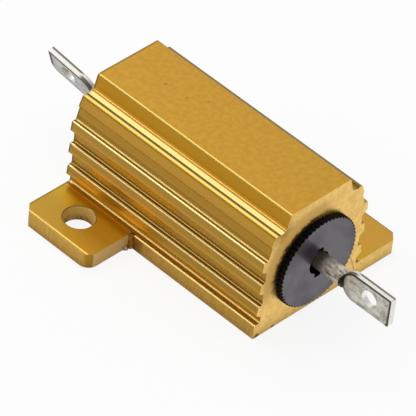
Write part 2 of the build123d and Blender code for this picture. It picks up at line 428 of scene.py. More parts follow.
top_edge = product(tree, rounded, ramp(tree, height, TOP - 0.25 * MM, TOP - 0.15 * MM))
in_from_ledge = ramp(tree, across, STEP_FOOT + 0.25 * MM, STEP_FOOT + 0.15 * MM)
step_wall = product(tree, high_up, ramp(tree, facing_across, 0.7, 0.9), in_from_ledge)
past_step = ramp(tree, across, STEP_FOOT - 0.05 * MM, STEP_FOOT + 0.03 * MM)
before_groove = ramp(tree, across, LEDGE_END + 0.05 * MM, LEDGE_END - 0.05 * MM)
ledge = product(tree, high_up, ramp(tree, facing_up, 0.5, 0.8), past_step, before_groove)
bead = product(tree, high_up, band(tree, across, *BEAD, LINE_SOFTNESS))
bead_slope = product(tree, high_up, band(tree, across, *BEAD_SLOPE, LINE_SOFTNESS))
print("ledge from", STEP_FOOT / MM, "to", LEDGE_END / MM, "mm from the middle")

# %% Gold: the upright walls between fins
FIN_PITCH = 2.93 * MM
FIRST_LIP = 1.32 * MM
WALL_SOFTNESS = 0.15 * MM

above_lip = calculate(tree, "MODULO", calculate(tree, "SUBTRACT", height, FIRST_LIP), FIN_PITCH)
upright = product(tree, ramp(tree, facing_across, *SQUARE_ON), by_fins)
# The foot of each upright wall is painted darker, a painted shade in the crease, and the foot of
# each fin face is painted lighter, a painted light.
wall_foot_shade = product(tree, upright, band(tree, above_lip, 0.1 * MM, 0.45 * MM, WALL_SOFTNESS))
face_foot_light = product(tree, upright, band(tree, above_lip, 1.7 * MM, 2.05 * MM, WALL_SOFTNESS))
print("fins repeat every", FIN_PITCH / MM, "mm")

# %% [markdown]
# ## Gold anodising: colour
# Each zone mixes two close colours by a pattern that suits how it was made: lines along the drawn
# faces, fine patches on the satin top and on the sawn ends, upright saw marks on the flange's
# side. The colours are then laid over each other like coats of paint, each through its own mask,
# so a later coat covers an earlier one.

# %% Gold: patterns and main faces
DRAWN_GOLD = (0.700, 0.365, 0.012)
DEEP_GOLD = (0.610, 0.315, 0.010)
TOP_GOLD = (0.635, 0.335, 0.026)
TOP_GOLD_DULL = (0.565, 0.295, 0.021)
CUT_GOLD = (0.93, 0.585, 0.125)
CUT_GOLD_DULL = (0.78, 0.475, 0.090)
FLANGE_BROWN = (0.88, 0.50, 0.075)
FLANGE_BRIGHT = (1.0, 0.62, 0.10)

fine_patches = use_group(tree, soft_patches, coordinates, Size=1700, Detail=3)["Patches"]
patches = use_group(tree, soft_patches, coordinates, Size=900, Detail=4)["Patches"]
drawn = use_group(tree, stretched_lines, coordinates, Stretch=(25, 3200, 3200))["Lines"]
wide_lines = use_group(tree, stretched_lines, coordinates, Stretch=(12, 900, 900))["Lines"]
saw_marks = use_group(tree, stretched_lines, coordinates, Stretch=(2600, 2600, 260))["Lines"]

mottled = ramp(tree, fine_patches, 0.35, 0.65)
drawn_colour = blend_colours(tree, ramp(tree, wide_lines, 0.3, 0.7), DEEP_GOLD, DRAWN_GOLD)
top_colour = blend_colours(tree, mottled, TOP_GOLD_DULL, TOP_GOLD)
cut_colour = blend_colours(tree, mottled, CUT_GOLD_DULL, CUT_GOLD)
sawn = ramp(tree, saw_marks, 0.35, 0.7)
flange_colour = blend_colours(tree, sawn, FLANGE_BROWN, FLANGE_BRIGHT)
gold_colour = blend_colours(tree, flat_top, drawn_colour, top_colour)
print("gold faces: drawn, top, cut and flange side")

# %% Gold: lug, walls and shoulder
LUG_GOLD_SHADED = (0.50, 0.285, 0.022)
LUG_GOLD_LIT = (0.63, 0.33, 0.030)
LUG_FIN_REFLECTION = (0.62, 0.355, 0.010)
LUG_EDGE_SHADE = (0.42, 0.25, 0.03)
WALL_FOOT_SHADE = (0.50, 0.25, 0.006)
FACE_FOOT_LIGHT = (0.84, 0.44, 0.020)
LEDGE_FOOT_HIGHLIGHT = (0.52, 0.27, 0.04)
LEDGE_HIGHLIGHT = (0.34, 0.275, 0.06)
BEAD_SLOPE_SHADE = (0.36, 0.19, 0.012)
BEAD_HIGHLIGHT = (0.30, 0.25, 0.05)
STEP_GOLD = (0.77, 0.374, 0.010)
TOP_EDGE_HIGHLIGHT = (0.47, 0.34, 0.06)

# The lug tops are painted darker on the left lug and lighter on the right one, as shade and light,
# and more orange near the fins, a painted reflection of them. Their rounded edges are painted
# darker, a painted shade that dulls their highlight.
lug_colour = blend_colours(tree, ramp(tree, point["X"], 0, 5 * MM), LUG_GOLD_SHADED, LUG_GOLD_LIT)
near_fins = ramp(tree, across, 11 * MM, 8 * MM)
lug_colour = blend_colours(tree, near_fins, lug_colour, LUG_FIN_REFLECTION)
# The ledge, bead and top edge are painted muted and pale, a painted tint of their highlights, and
# the ledge fades from orange by the step; the bead's slope is painted dark, a painted shade that
# narrows the bead's highlight.
down_ledge = ramp(tree, across, STEP_FOOT + 0.05 * MM, STEP_FOOT + 0.6 * MM)
ledge_colour = blend_colours(tree, down_ledge, LEDGE_FOOT_HIGHLIGHT, LEDGE_HIGHLIGHT)
gold_colour = paint(
    tree,
    gold_colour,
    (either(tree, lug_top, lug_edge), 1, lug_colour),
    (lug_edge, 1, LUG_EDGE_SHADE),
    (wall_foot_shade, 1, WALL_FOOT_SHADE),
    (face_foot_light, 1, FACE_FOOT_LIGHT),
    (ledge, 1, ledge_colour),
    (bead_slope, 1, BEAD_SLOPE_SHADE),
    (step_wall, 1, STEP_GOLD),
    (bead, 1, BEAD_HIGHLIGHT),
    (top_edge, 1, TOP_EDGE_HIGHLIGHT),
)
print("gold lugs, walls, ledge, bead and step laid on")

# %% Gold: painted highlights, painted shade and sawn faces
HIGHLIGHT_GOLD = (0.95, 0.82, 0.33)
SHADE_BROWN = (0.12, 0.075, 0.012)
LUG_SAWN = (1.0, 0.68, 0.25)
FLANGE_LOW_BROWN = (0.62, 0.36, 0.10)
HOLE_GOLD = (0.95, 0.64, 0.17)
HOLE_BROWN = (0.34, 0.22, 0.07)
NICK_BROWN = (0.45, 0.22, 0.03)

inner_cut = product(tree, end_cut, low_down, ramp(tree, along, 13 * MM, 12 * MM))
near_base = ramp(tree, height, 1.1 * MM, 0.1 * MM)
hole_foot = ramp(tree, height, 1 * MM, 0.1 * MM)
# The lug holes' walls are darker towards their foot, in patches.
hole_foot_patches = product(tree, hole_wall, hole_foot, ramp(tree, fine_patches, 0.3, 0.6))
by_nick = band(tree, along_flange, NICK_END - 0.1 * MM, NICK_END + 0.5 * MM, 1.1 * MM)
gold_colour = paint(
    tree,
    gold_colour,
    # painted highlight on edges and coves
    (painted_highlight_line, 0.8, HIGHLIGHT_GOLD),
    # painted shade in the hollows and by the far end
    (painted_shade_line, 0.93, SHADE_BROWN),
    (far_end_shade, 0.6, SHADE_BROWN),
    (end_cut, 1, cut_colour),
    (inner_cut, 1, LUG_SAWN),
    (flange_side, 1, flange_colour),
    # the flange's side darker towards the bottom
    (product(tree, flange_side, near_base), 0.6, FLANGE_LOW_BROWN),
    (hole_wall, 1, HOLE_GOLD),
    (hole_foot_patches, 1, HOLE_BROWN),
    # painted shade round the lug holes
    (hole_shade_ring, 0.6, SHADE_BROWN),
    (product(tree, flange_side, by_nick), 0.75, NICK_BROWN),
)
print("gold edges, hollows and sawn faces laid on")

# %% [markdown]
# ## Gold anodising: the seat of the cap
# The cap is pressed into a bore. A shadow could be left to the lamps alone, but here the end face
# round the cap's upper left is painted lighter and made rough, uncoated and barely metallic, which
# lifts the shade that the cap casts there, and a painted shade is laid next to the rim: a ragged
# brown band and a black band, drawn by distance from the cap's rim.

# %% Gold: the seat of the cap
CAP_LOW, CAP_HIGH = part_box("right_end_cap")
CAP_RADIUS = (CAP_HIGH.z - CAP_LOW.z) / 2
BORE_CENTRE = (0, 0, CAP_LOW.z + CAP_RADIUS)
UPPER_LEFT = (0, -0.75, 0.65)
SHADE_WIDTH = 0.72 * MM
SHADE_CORE = 0.24 * MM
SHADE_GAP_REACH = (0.4 * MM, 0.16 * MM)
SEAT_LIGHTENING_REACH = (2.4 * MM, 1.2 * MM)
RAGGEDNESS = 1.3 * MM
SEAT_SHADE_BROWN = (0.24, 0.09, 0.005)
SHADE_GAP_BLACK = (0.02, 0.009, 0.004)
SEAT_LIGHTENING_GOLD = (1.0, 0.60, 0.135)

from_bore = add_node(tree, "ShaderNodeVectorMath", {1: BORE_CENTRE}, operation="SUBTRACT")
tree.links.new(coordinates["Object"], from_bore.inputs[0])
flattened = add_node(tree, "ShaderNodeVectorMath", {1: (0, 1, 1)}, operation="MULTIPLY")
tree.links.new(from_bore.outputs[0], flattened.inputs[0])
bore_length = add_node(tree, "ShaderNodeVectorMath", operation="LENGTH")
tree.links.new(flattened.outputs[0], bore_length.inputs[0])
shade_side = add_node(tree, "ShaderNodeVectorMath", {1: UPPER_LEFT}, operation="DOT_PRODUCT")
tree.links.new(flattened.outputs[0], shade_side.inputs[0])
on_shade_side = product(tree, end_cut, ramp(tree, shade_side.outputs["Value"], 2 * MM, 4.5 * MM))

from_rim = calculate(tree, "SUBTRACT", bore_length.outputs["Value"], CAP_RADIUS)
ragged = product(tree, calculate(tree, "SUBTRACT", fine_patches, 0.5), RAGGEDNESS)
from_ragged_rim = calculate(tree, "ADD", from_rim, ragged)
# Painted light and shade on the seat: the end face is painted lighter where the cap's shade falls,
# and a ragged brown band and a black band, a painted shade, hug the rim.
seat_lightening = product(tree, on_shade_side, ramp(tree, from_rim, *SEAT_LIGHTENING_REACH))
painted_shade = product(tree, on_shade_side, ramp(tree, from_ragged_rim, SHADE_WIDTH, SHADE_CORE))
shade_gap = product(tree, on_shade_side, ramp(tree, from_ragged_rim, *SHADE_GAP_REACH))
gold_colour = paint(
    tree,
    gold_colour,
    (seat_lightening, 1, SEAT_LIGHTENING_GOLD),
    (painted_shade, 0.85, SEAT_SHADE_BROWN),
    (shade_gap, 0.9, SHADE_GAP_BLACK),
)
print("cap radius", CAP_RADIUS / MM, "mm, stain round it", SHADE_WIDTH / MM, "mm wide")

# %% Gold: specks and pits
PIT_BROWN = (0.12, 0.06, 0.015)
PITS = (
    ((-8.3, -0.05, 14.7), 0.26, 0.4),
    ((-5.4, 0.15, 14.7), 0.22, 0.4),
    ((-3.6, 1.4, 14.7), 0.2, 0.4),
    ((13.75, -7.2, 0.1), 0.5, 1),
    ((13.75, -4.9, 0.08), 0.36, 0.9),
)

specks = use_group(tree, fine_specks, coordinates, Size=330, Radius=0.1)["Specks"]
gold_colour = paint(tree, gold_colour, (specks, 0.5, PIT_BROWN))
for place, radius, share in PITS:
    centre = Vector(place) * MM
    pit = use_group(tree, spot_at, coordinates, Centre=centre, Radius=radius * MM)["Spot"]
    gold_colour = paint(tree, gold_colour, (pit, share, PIT_BROWN))
    print("pit at", place)

# %% Gold: a scratch
SCRATCH_MIDDLE = (13.75 * MM, 6.45 * MM, 2.05 * MM)
SCRATCH_ALONG = (0, 0.36, -0.93)
SCRATCH_ACROSS = (0, 0.93, 0.36)
SCRATCH_HALF_LENGTH = 1.1 * MM
SCRATCH_HALF_WIDTH = 0.05 * MM

from_scratch = add_node(tree, "ShaderNodeVectorMath", {1: SCRATCH_MIDDLE}, operation="SUBTRACT")
tree.links.new(coordinates["Object"], from_scratch.inputs[0])
scratch = end_cut
spans = ((SCRATCH_ALONG, SCRATCH_HALF_LENGTH), (SCRATCH_ACROSS, SCRATCH_HALF_WIDTH))
for direction, reach in spans:
    offset = add_node(tree, "ShaderNodeVectorMath", {1: direction}, operation="DOT_PRODUCT")
    tree.links.new(from_scratch.outputs[0], offset.inputs[0])
    scratch = product(tree, scratch, band(tree, offset.outputs["Value"], -reach, reach, 0.05 * MM))
gold_colour = paint(tree, gold_colour, (scratch, 0.5, PIT_BROWN))
tree.links.new(gold_colour, shader.inputs["Base Color"])
print("scratch", 2 * SCRATCH_HALF_LENGTH / MM, "mm long")

# %% [markdown]
# ## Gold anodising: gloss and relief
# The dye sits in a clear, glassy oxide layer, so the shader is a metal under a thin coat. Drawn
# faces are the glossiest, and the satin and cut faces blur what they mirror. The deep fins near
# the flange are a little duller, which softens the lug that they mirror. In the lightened seat by
# the cap and on the lug holes' walls the metal is rough, and the coat and most mirroring are taken
# away.

# %% Gold: gloss
DRAWN_ROUGHNESS = 0.22
SATIN_ROUGHNESS = 0.34
EDGE_ROUGHNESS = 0.36
SEAT_ROUGHNESS = 0.6
DEEP_FINS = (10 * MM, 5 * MM)

satin = either(tree, flat_top, lug_top)
cut = either(tree, end_cut, flange_side)
rough_uncoated = either(tree, seat_lightening, hole_wall)
dull = either(tree, ramp(tree, height, *DEEP_FINS), satin, cut)
roughness = blend_values(tree, dull, DRAWN_ROUGHNESS, SATIN_ROUGHNESS)
roughness = blend_values(tree, either(tree, painted_highlight_line, lug_edge), roughness, EDGE_ROUGHNESS)
roughness = blend_values(tree, rough_uncoated, roughness, SEAT_ROUGHNESS)
uneven = product(tree, calculate(tree, "SUBTRACT", drawn, 0.5), 0.1)
tree.links.new(calculate(tree, "ADD", roughness, uneven), shader.inputs["Roughness"])
print("gold roughness from", DRAWN_ROUGHNESS, "to", SEAT_ROUGHNESS)

# %% Gold: clear coat and metal
DRAWN_COAT = 0.6
DULL_COAT = 0.25
STEP_COAT = 0.2
EDGE_COAT = 0.9
UNCOATED_COAT = 0.05
HOLLOW_COAT = 0.1
ANODISED_METAL = 0.86
SAWN_METAL = 0.2
SEAT_LIGHTENING_METAL = 0.05

coated = blend_values(tree, either(tree, cut, satin), DRAWN_COAT, DULL_COAT)
coated = blend_values(tree, either(tree, step_wall, bead_slope), coated, STEP_COAT)
coated = blend_values(tree, painted_highlight_line, coated, EDGE_COAT)
coated = blend_values(tree, rough_uncoated, coated, UNCOATED_COAT)
coated = blend_values(tree, painted_shade_line, coated, HOLLOW_COAT)
tree.links.new(coated, shader.inputs["Coat Weight"])
metal = blend_values(tree, either(tree, inner_cut, hole_wall), ANODISED_METAL, SAWN_METAL)
metal = blend_values(tree, seat_lightening, metal, SEAT_LIGHTENING_METAL)
tree.links.new(metal, shader.inputs["Metallic"])
shader.inputs["Coat IOR"].default_value = 1.6
shader.inputs["Coat Roughness"].default_value = 0.1
print("clear coat from", UNCOATED_COAT, "to", EDGE_COAT)

# %% Gold: relief
LINE_RELIEF = 0.32
SAW_RELIEF = 0.4

grained = either(tree, cut, satin)
line_relief = product(tree, drawn, opposite(tree, grained), LINE_RELIEF)
patch_share = blend_values(tree, grained, 0.05, 0.85)
patch_relief = product(tree, patches, patch_share, blend_values(tree, end_cut, 1, 0.4))
saw_relief = product(tree, saw_marks, flange_side, SAW_RELIEF)
gold_relief = calculate(tree, "ADD", calculate(tree, "ADD", line_relief, patch_relief), saw_relief)
add_relief(tree, shader, gold_relief, strength=0.22, depth=0.04)
dress("housing", gold)

# %% [markdown]
# ## Black caps
# The caps are moulded in a hard black plastic that reads as a cool dark grey where it mirrors
# the paper. A plain dark base with a clear gloss would do for a toy. Here the flat face carries
# faint stains and a fine grain, and the knurled rim is painted blacker, a painted shade for its
# teeth mirroring only each other and catching light on their points.

# %% Cap moulding
FACE_BLACK = (0.026, 0.018, 0.034)
FACE_WORN = (0.062, 0.040, 0.066)
FACE_DUST = (0.10, 0.09, 0.09)
RIM_SHADE_BLACK = (0.004, 0.0025, 0.002)
FACE_ROUGHNESS = 0.33
RIM_ROUGHNESS = 0.5
FACE_COAT = (0.42, 0.66)
RIM_COAT = 0.06

black, tree, shader, coordinates = new_material("cap_moulding")
cap_patches = use_group(tree, soft_patches, coordinates, Size=300, Detail=5)["Patches"]
grain = use_group(tree, soft_patches, coordinates, Size=4200, Detail=2)["Patches"]
dust = use_group(tree, fine_specks, coordinates, Size=900, Radius=0.16)["Specks"]
cap_facing = split(tree, coordinates["Normal"])
flat_face = ramp(tree, calculate(tree, "ABSOLUTE", cap_facing["X"]), 0.85, 0.97)

face_colour = blend_colours(tree, ramp(tree, cap_patches, 0.38, 0.62), FACE_BLACK, FACE_WORN)
face_colour = paint(tree, face_colour, (dust, 0.4, FACE_DUST))
# The rim is painted nearly black, a painted shade.
cap_colour = blend_colours(tree, flat_face, RIM_SHADE_BLACK, face_colour)
tree.links.new(cap_colour, shader.inputs["Base Color"])
cap_roughness = blend_values(tree, flat_face, RIM_ROUGHNESS, FACE_ROUGHNESS)
tree.links.new(cap_roughness, shader.inputs["Roughness"])
face_coat = blend_values(tree, ramp(tree, cap_patches, 0.36, 0.6), *FACE_COAT)
tree.links.new(blend_values(tree, flat_face, RIM_COAT, face_coat), shader.inputs["Coat Weight"])
shader.inputs["IOR"].default_value = 1.3
shader.inputs["Coat IOR"].default_value = 1.56
shader.inputs["Coat Roughness"].default_value = 0.2
add_relief(tree, shader, calculate(tree, "ADD", grain, cap_patches), strength=0.14, depth=0.03)
dress("right_end_cap", black)
dress("left_end_cap", black)

# %% [markdown]
# ## Tinned terminals: where on the blade
# Each terminal is a round pin pressed flat at its end and pierced with an eye. The press leaves
# the flat faces grey and brushed and the sheared edges bright, and a dark line runs round the flat
# faces' border. To find those zones, the material carries each point back to where it lay on the
# straight blade, before the left terminal was bent and twisted.

# %% Blade finder
BLADE_HALF_WIDTH = 1.72 * MM
BLADE_LENGTH = 6.52 * MM
EYE_PLACE = (3.72 * MM, 0, 0)
EYE_RADIUS = 1 * MM

blade_place, given, result = new_group(
    "blade_place",
    {
        "Coordinates": (VECTOR, None),
        "Flip": (VECTOR, (1, 1, 1)),
        "Bend Place": (VECTOR, (0, 0, 0)),
        "Unbend": (VECTOR, (0, 0, 0)),
        "Untwist": (VECTOR, (0, 0, 0)),
        "Root": (VECTOR, (0, 0, 0)),
    },
    ["Along", "Thickness", "Height", "Inset", "From Eye"],
)
from_bend = add_node(blade_place, "ShaderNodeMapping")
unbent = add_node(blade_place, "ShaderNodeMapping")
untwisted = add_node(blade_place, "ShaderNodeMapping")
blade_place.links.new(given["Coordinates"], from_bend.inputs["Vector"])
blade_place.links.new(given["Flip"], from_bend.inputs["Scale"])
blade_place.links.new(given["Bend Place"], from_bend.inputs["Location"])
blade_place.links.new(from_bend.outputs[0], unbent.inputs["Vector"])
blade_place.links.new(given["Unbend"], unbent.inputs["Rotation"])
blade_place.links.new(unbent.outputs[0], untwisted.inputs["Vector"])
blade_place.links.new(given["Untwist"], untwisted.inputs["Rotation"])
blade_place.links.new(given["Root"], untwisted.inputs["Location"])
on_blade = split(blade_place, untwisted.outputs[0])
print("blade", BLADE_LENGTH / MM, "mm long and", 2 * BLADE_HALF_WIDTH / MM, "mm wide")

# %% Distance inwards from the blade's outline
behind_centre = calculate(blade_place, "SUBTRACT", on_blade["X"], BLADE_HALF_WIDTH)
in_root = calculate(blade_place, "MINIMUM", behind_centre, 0)
root_square = calculate(blade_place, "MULTIPLY", in_root, in_root)
height_square = calculate(blade_place, "MULTIPLY", on_blade["Z"], on_blade["Z"])
sum_of_squares = calculate(blade_place, "ADD", root_square, height_square)
from_blade_middle = calculate(blade_place, "SQRT", sum_of_squares)
side_inset = calculate(blade_place, "SUBTRACT", BLADE_HALF_WIDTH, from_blade_middle)
end_inset = calculate(blade_place, "SUBTRACT", BLADE_LENGTH, on_blade["X"])
inset = calculate(blade_place, "MINIMUM", side_inset, end_inset)

in_face = add_node(blade_place, "ShaderNodeVectorMath", {1: (1, 0, 1)}, operation="MULTIPLY")
blade_place.links.new(untwisted.outputs[0], in_face.inputs[0])
eye_distance = add_node(blade_place, "ShaderNodeVectorMath", {1: EYE_PLACE}, operation="DISTANCE")
blade_place.links.new(in_face.outputs[0], eye_distance.inputs[0])
from_eye = calculate(blade_place, "SUBTRACT", eye_distance.outputs["Value"], EYE_RADIUS)

blade_place.links.new(on_blade["X"], result["Along"])
blade_place.links.new(on_blade["Y"], result["Thickness"])
blade_place.links.new(on_blade["Z"], result["Height"])
blade_place.links.new(inset, result["Inset"])
blade_place.links.new(from_eye, result["From Eye"])
print(blade_place.name, "has", len(blade_place.nodes), "nodes")

# %% [markdown]
# ## Tinned terminals: the finish
# The tin is two greys mixed by brushed streaks and patches. The pin is painted dark brown where it
# leaves the cap, a painted shade, and painted lighter in streaks towards the blade, a painted
# light.
# One function finds the blade's zones and another makes both terminals' materials, which differ in
# how their blades lie, and the left one's greys are painted lighter, a painted light.

# %% Zones of a blade
FLAT_LEVEL = 0.34 * MM
ROOT_END = 2.1 * MM
EYE_FAR_SIDE = 4 * MM


def blade_zones(tree, blade, border_width, far_from):
    """Masks of one blade by name, for a dark border's width and a grey far edge's start."""
    depth = calculate(tree, "ABSOLUTE", blade["Thickness"])
    flat = ramp(tree, depth, FLAT_LEVEL - 0.01 * MM, FLAT_LEVEL)
    is_blade = ramp(tree, blade["Inset"], -0.08 * MM, -0.03 * MM)
    sheared = product(tree, is_blade, opposite(tree, flat))
    upper = ramp(tree, blade["Height"], -1.2 * MM, 0)
    near_tip = ramp(tree, blade["Along"], BLADE_LENGTH - 0.45 * MM, BLADE_LENGTH - 0.3 * MM)
    marked = blend_values(tree, either(tree, upper, near_tip), 0.2, 0.95)
    near_outline = ramp(tree, blade["Inset"], border_width + 0.12 * MM, border_width)
    at_end = ramp(tree, blade["Along"], BLADE_LENGTH - 0.1 * MM, BLADE_LENGTH - 0.03 * MM)
    near_root = ramp(tree, blade["Along"], ROOT_END, ROOT_END - 0.7 * MM)
    near_half = ramp(tree, blade["Thickness"], 0.08 * MM, -0.04 * MM)
    root_height = blend_values(tree, ramp(tree, blade["Height"], -0.6 * MM, 0.5 * MM), 0.25, 1)
    far_half = ramp(tree, blade["Thickness"], far_from, far_from + 0.08 * MM)
    long_edge = product(tree, sheared, opposite(tree, at_end), opposite(tree, near_root))
    in_eye = ramp(tree, blade["From Eye"], 0.1 * MM, 0.03 * MM)
    eye_wall = product(tree, opposite(tree, flat), in_eye)
    past_eye = ramp(tree, blade["Along"], EYE_FAR_SIDE, EYE_FAR_SIDE + 0.6 * MM)
    # Painted shade: the root's near half, the far half of the long sheared edge and the eye wall's
    # tip side; the eye wall itself is painted near white, a painted light.
    return {
        "blade": is_blade,
        "sheared": sheared,
        "pale cut": product(tree, sheared, opposite(tree, at_end), opposite(tree, eye_wall)),
        "border": product(tree, is_blade, flat, near_outline, marked),
        "far edge shade": product(tree, long_edge, far_half),
        "root": product(tree, sheared, near_root, near_half, root_height),
        "eye wall": eye_wall,
        "eye stain": product(tree, eye_wall, past_eye),
    }


print("blade zones ready")

# %% Tin
PIN_SHADE = (0.08, 0.062, 0.042)
PIN_LIT = (0.90, 0.80, 0.66)
PIN_SHADE_FADES = (-3.2 * MM, -1.0 * MM)
BORDER_DARK = (0.04, 0.03, 0.02)
ROOT_SHADE_AND_SPECK_BROWN = (0.05, 0.035, 0.025)
EYE_SHADE_BROWN = (0.42, 0.32, 0.22)
EYE_WALL_LIGHT = (0.98, 0.97, 0.93)
TIN_ROUGHNESS = 0.24
PALE_ROUGHNESS = 0.45
PALE_METAL = 0.15


def tinned(name, greys, metallic, border_width, far_from, lie):
    """Tin for one terminal.

    The greys are two for the flat faces, one for the sheared edge and one for its far half, a
    painted shade, which starts at far_from in the thickness. The lie carries a point back to the
    straight blade.
    """
    dull, bright, sheared_tin, far_shade_grey = greys
    material, tree, shader, coordinates = new_material(name)
    blade = use_group(tree, blade_place, coordinates, **lie)
    streaks = use_group(tree, stretched_lines, coordinates, Stretch=(420, 2600, 2600))["Lines"]
    mottle = use_group(tree, soft_patches, coordinates, Size=1300, Detail=5)["Patches"]
    specks = use_group(tree, fine_specks, coordinates, Size=1500, Radius=0.22)["Specks"]
    brushed = blend_values(tree, 0.55, streaks, mottle)
    zones = blade_zones(tree, blade, border_width, far_from)

    flat_colour = blend_colours(tree, ramp(tree, brushed, 0.4, 0.6), dull, bright)
    # The pin is painted dark brown by the cap, a painted shade, and lighter in streaks towards the
    # blade, a painted light.
    near_blade = ramp(tree, blade["Along"], *PIN_SHADE_FADES)
    streaked = ramp(tree, blend_values(tree, 0.4, streaks, mottle), 0.38, 0.58)
    pin_light = product(tree, streaked, blend_values(tree, near_blade, 0.06, 1))
    colour = paint(
        tree,
        blend_colours(tree, pin_light, PIN_SHADE, PIN_LIT),
        (zones["blade"], 1, flat_colour),
        (zones["sheared"], 1, sheared_tin),
        # a dark line round the flat faces' border, strongest on the upper side and by the tip
        (zones["border"], 1, BORDER_DARK),
        # painted shade on the sheared edge's far half, the root and the eye wall's tip side,
        # painted light on the eye wall
        (zones["far edge shade"], 1, far_shade_grey),
        (zones["root"], 0.85, ROOT_SHADE_AND_SPECK_BROWN),
        (zones["eye wall"], 1, EYE_WALL_LIGHT),
        (zones["eye stain"], 0.55, EYE_SHADE_BROWN),
        (specks, 0.5, ROOT_SHADE_AND_SPECK_BROWN),
    )
    tree.links.new(colour, shader.inputs["Base Color"])

    pin_share = blend_values(tree, near_blade, 0.5, 0.95)
    pale_pin = product(tree, opposite(tree, zones["blade"]), pin_share)
    pale = either(tree, zones["pale cut"], pale_pin)
    tree.links.new(blend_values(tree, pale, metallic, PALE_METAL), shader.inputs["Metallic"])
    roughness = blend_values(tree, pale, TIN_ROUGHNESS, PALE_ROUGHNESS)
    roughness = calculate(tree, "ADD", roughness, product(tree, brushed, 0.2))
    tree.links.new(roughness, shader.inputs["Roughness"])
    add_relief(tree, shader, brushed, strength=0.3, depth=0.05)
    return material


print("tin ready")

# %% Two terminals
RIGHT_LIE = {"Root": (-18.08 * MM, 0, -6.95 * MM)}
LEFT_LIE = {
    "Flip": (-1, 1, 1),
    "Bend_Place": (-16.9 * MM, 0, -6.95 * MM),
    "Unbend": (0, radians(6.7), 0),
    "Untwist": (radians(-22), 0, 0),
    "Root": (-0.83 * MM, 0, 0),
}
# The left terminal's greys are painted lighter than the right's, a painted light.
RIGHT_GREYS = ((0.34, 0.33, 0.27), (0.66, 0.65, 0.57), (0.88, 0.86, 0.77), (0.20, 0.19, 0.17))
LEFT_LIT_GREYS = ((0.66, 0.67, 0.67), (0.97, 0.98, 0.98), (0.97, 0.95, 0.86), (0.18, 0.18, 0.16))
right_tin = tinned("right_tin", RIGHT_GREYS, 0.8, 0.2 * MM, 0.05 * MM, RIGHT_LIE)
left_tin = tinned("left_tin", LEFT_LIT_GREYS, 0.4, 0.3 * MM, 0.08 * MM, LEFT_LIE)
dress("right_terminal", right_tin)
dress("left_terminal", left_tin)

# %% [markdown]
# ## The parts inside
# Nothing inside shows in the picture, but the model can be opened, so the ceramic rod, its metal
# cups, the flat wire and the filling get their own finishes from the same effects.

# %% Inside finishes
def grainy(name, colours, gloss, metallic, size, bump):
    """Two colours mixed by soft patches; gloss is the least roughness and its spread."""
    material, tree, shader, coordinates = new_material(name)
    patches = use_group(tree, soft_patches, coordinates, Size=size, Detail=4)["Patches"]
    colour = blend_colours(tree, ramp(tree, patches, 0.35, 0.65), *colours)
    tree.links.new(colour, shader.inputs["Base Color"])
    least, spread = gloss
    roughness = calculate(tree, "ADD", least, product(tree, patches, spread))
    tree.links.new(roughness, shader.inputs["Roughness"])
    shader.inputs["Metallic"].default_value = metallic
    add_relief(tree, shader, patches, strength=bump, depth=0.04)
    return material


CERAMIC = ((0.72, 0.69, 0.61), (0.82, 0.80, 0.74))
PLATE = ((0.50, 0.48, 0.44), (0.66, 0.65, 0.61))
WIRE = ((0.34, 0.31, 0.28), (0.50, 0.47, 0.42))
COMPOUND = ((0.30, 0.29, 0.27), (0.42, 0.41, 0.39))

dress("ceramic_core", grainy("core_ceramic", CERAMIC, (0.55, 0.3), 0, 2200, 0.3))
ferrule_plate = grainy("ferrule_plate", PLATE, (0.22, 0.2), 1, 1300, 0.2)
dress("right_core_ferrule", ferrule_plate)
dress("left_core_ferrule", ferrule_plate)
dress("resistance_winding", grainy("resistance_wire", WIRE, (0.25, 0.25), 1, 3000, 0.2))
dress("potting_fill", grainy("potting_compound", COMPOUND, (0.6, 0.3), 0, 1700, 0.5))

# %% [markdown]
# ## Torn metal in the saw cut
# Where the flange is sawn away beside the left lug, the two saw cuts meet in a small nick. The
# saw has left it half filled: a torn web stands in the corner, and a crumb hangs on at its foot.
# They could be painted on as dark spots, but they stand out from the edge, so they are small
# pieces. One function makes both: a short cylinder has its top pinched, pushed over and dished,
# and then its edges are broken and its faces crumpled, the same way each time by a fixed seed.

# %% Torn metal
TOP_PINCH = (0.7, 0.75, 1)
CRUMPLE_SEED = 3


def select_faces(mesh_object, looks):
    """In edit mode, select only the faces whose normal passes a test."""
    bpy.ops.mesh.select_all(action="DESELECT")
    bpy.ops.object.mode_set(mode="OBJECT")
    for face in mesh_object.data.polygons:
        face.select = looks(face.normal)
    bpy.ops.object.mode_set(mode="EDIT")


def torn_metal(name, centre, radius, tall, lean, crumple):
    """A crumpled stub of metal; centre, radius, height and lean of its top in millimetres."""
    bpy.ops.object.select_all(action="DESELECT")
    bpy.ops.mesh.primitive_cylinder_add(vertices=10, radius=radius * MM, depth=tall * MM)
    stub = bpy.context.object
    stub.name = name
    bpy.ops.object.mode_set(mode="EDIT")
    bpy.ops.mesh.select_mode(type="FACE")
    select_faces(stub, lambda normal: normal.z > 0.9)
    top_middle = (0, 0, tall / 2 * MM)
    bpy.ops.transform.resize(value=TOP_PINCH, center_override=top_middle)
    bpy.ops.transform.translate(value=Vector(lean) * MM)
    bpy.ops.mesh.inset(thickness=0.25 * radius * MM, depth=0.12 * radius * MM)
    select_faces(stub, lambda normal: normal.z < -0.9)
    bpy.ops.mesh.inset(thickness=0.2 * radius * MM)
    bpy.ops.mesh.select_all(action="SELECT")
    bpy.ops.mesh.bevel(offset=0.12 * radius * MM, segments=2)
    bpy.ops.mesh.subdivide(number_cuts=1)
    bpy.ops.transform.vertex_random(offset=crumple * MM, seed=CRUMPLE_SEED)
    bpy.ops.transform.translate(value=Vector(centre) * MM)
    bpy.ops.mesh.normals_make_consistent(inside=False)
    bpy.ops.object.mode_set(mode="OBJECT")
    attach(stub, "root")
    print(name, len(stub.data.polygons), "faces")
    return stub


